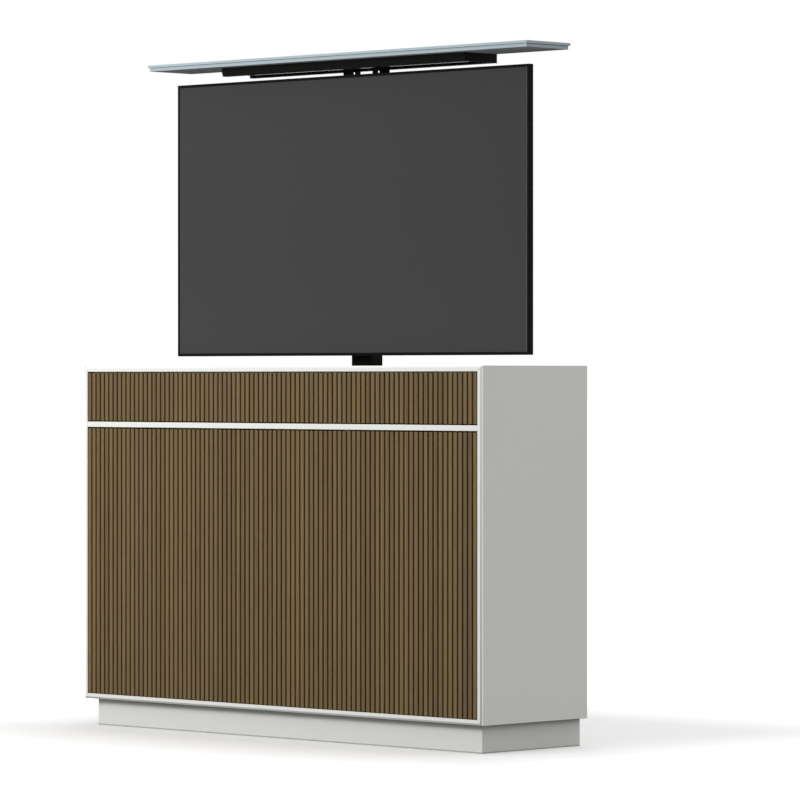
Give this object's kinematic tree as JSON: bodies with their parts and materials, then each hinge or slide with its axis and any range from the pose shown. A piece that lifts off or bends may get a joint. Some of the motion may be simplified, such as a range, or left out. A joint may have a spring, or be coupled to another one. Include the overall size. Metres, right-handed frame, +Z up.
{
  "type": "tv lift cabinet",
  "caption": "Low cabinet with slatted doors and a drop flap, whose two-stage lift raises a flat television and the lid over it out of the top.",
  "frame": {"origin": "on the floor under the middle of the cabinet's footprint", "axes": "+Z up, +Y towards the back, +X to the right as seen from the front"},
  "size_m": [1.652, 0.436, 1.9955],
  "materials": {
    "white_board": "white satin lacquer on board",
    "lid_board": "white satin lacquer on board",
    "walnut_slats": "oiled walnut",
    "walnut_board": "walnut veneer, matt",
    "black_steel": "black powder coat",
    "bright_steel": "nickel plated",
    "black_plastic": "fine moulded texture",
    "grey_plastic": "satin",
    "screen": "anti-glare screen, off"
  },
  "bodies": {
    "carcass": {"side_left": "white_board", "side_right": "white_board", "top_panel": "white_board", "bottom_panel": "white_board", "mid_shelf": "white_board", "partition_board": "white_board", "divider_left": "white_board", "divider_right": "white_board", "shelf_left": "white_board", "shelf_centre": "white_board", "shelf_right": "white_board", "stop_rail": "white_board", "plinth_front": "white_board", "plinth_back": "white_board", "plinth_left": "white_board", "plinth_right": "white_board", "back_panel": "white_board", "back_access_panel": "white_board", "flap_pivot_left": "bright_steel", "flap_pivot_right": "bright_steel", "hinge_arm_left_lower": "bright_steel", "hinge_arm_left_upper": "bright_steel", "hinge_arm_centre_lower": "bright_steel", "hinge_arm_centre_upper": "bright_steel", "hinge_arm_right_lower": "bright_steel", "hinge_arm_right_upper": "bright_steel", "base_column": "black_steel", "motor_gearbox": "black_plastic", "control_box": "black_plastic"},
    "screw": {"drive_screw": "bright_steel"},
    "mast": {"mast": "black_steel"},
    "carriage": {"channel_left": "black_steel", "channel_right": "black_steel", "tv_mount_plate": "black_steel", "lid_frame_front": "black_steel", "lid_frame_left": "black_steel", "lid_frame_right": "black_steel", "lid_frame_bridge": "black_steel", "lid_board": "lid_board", "tv_frame": "black_plastic", "tv_screen": "screen", "tv_rear_shell": "black_plastic"},
    "flap": {"flap_board": "walnut_board", "flap_slats": "walnut_slats"},
    "door_left": {"door_left_board": "walnut_board", "door_left_slats": "walnut_slats", "hinge_cup_left_lower": "bright_steel", "hinge_cup_left_upper": "bright_steel"},
    "door_centre": {"door_centre_board": "walnut_board", "door_centre_slats": "walnut_slats", "hinge_cup_centre_lower": "bright_steel", "hinge_cup_centre_upper": "bright_steel"},
    "door_right": {"door_right_board": "walnut_board", "door_right_slats": "walnut_slats", "hinge_cup_right_lower": "bright_steel", "hinge_cup_right_upper": "bright_steel"},
    "plunger_left": {"latch_plunger_left": "grey_plastic"},
    "plunger_centre": {"latch_plunger_centre": "grey_plastic"},
    "plunger_right": {"latch_plunger_right": "grey_plastic"},
    "plunger_flap": {"latch_plunger_flap": "grey_plastic"}
  },
  "joints": [
    {"name": "mast_slide", "type": "slide", "parent": "carcass", "child": "mast", "axis": [0, 0, 1], "range_m": [-0.45775, 0]},
    {"name": "carriage_slide", "type": "slide", "parent": "mast", "child": "carriage", "axis": [0, 0, 1], "range_m": [-0.45775, 0]},
    {"name": "screw_spin", "type": "hinge", "parent": "carcass", "child": "screw", "pos_m": [0, 0.1625, 0.5], "axis": [0, 0, 1], "range_deg": [-8239.6, 0]},
    {"name": "flap_hinge", "type": "hinge", "parent": "carcass", "child": "flap", "pos_m": [0, -0.213, 0.923], "axis": [1, 0, 0], "range_deg": [0, 90]},
    {"name": "door_left_hinge", "type": "hinge", "parent": "carcass", "child": "door_left", "pos_m": [-0.808, -0.218, 0.496], "axis": [0, 0, -1], "range_deg": [0, 105]},
    {"name": "door_centre_hinge", "type": "hinge", "parent": "carcass", "child": "door_centre", "pos_m": [-0.27485, -0.218, 0.496], "axis": [0, 0, -1], "range_deg": [0, 105]},
    {"name": "door_right_hinge", "type": "hinge", "parent": "carcass", "child": "door_right", "pos_m": [0.808, -0.218, 0.496], "axis": [0, 0, 1], "range_deg": [0, 105]},
    {"name": "plunger_left_press", "type": "slide", "parent": "carcass", "child": "plunger_left", "axis": [0, 1, 0], "range_m": [0, 0.003], "stiffness_N_per_m": 300},
    {"name": "plunger_centre_press", "type": "slide", "parent": "carcass", "child": "plunger_centre", "axis": [0, 1, 0], "range_m": [0, 0.003], "stiffness_N_per_m": 300},
    {"name": "plunger_right_press", "type": "slide", "parent": "carcass", "child": "plunger_right", "axis": [0, 1, 0], "range_m": [0, 0.003], "stiffness_N_per_m": 300},
    {"name": "plunger_flap_press", "type": "slide", "parent": "carcass", "child": "plunger_flap", "axis": [0, 1, 0], "range_m": [0, 0.003], "stiffness_N_per_m": 300}
  ],
  "couplings": [
    {"joint": "carriage_slide", "follows": "mast_slide", "ratio": 1},
    {"joint": "screw_spin", "follows": "mast_slide", "rad_per_m": 314.16}
  ]
}
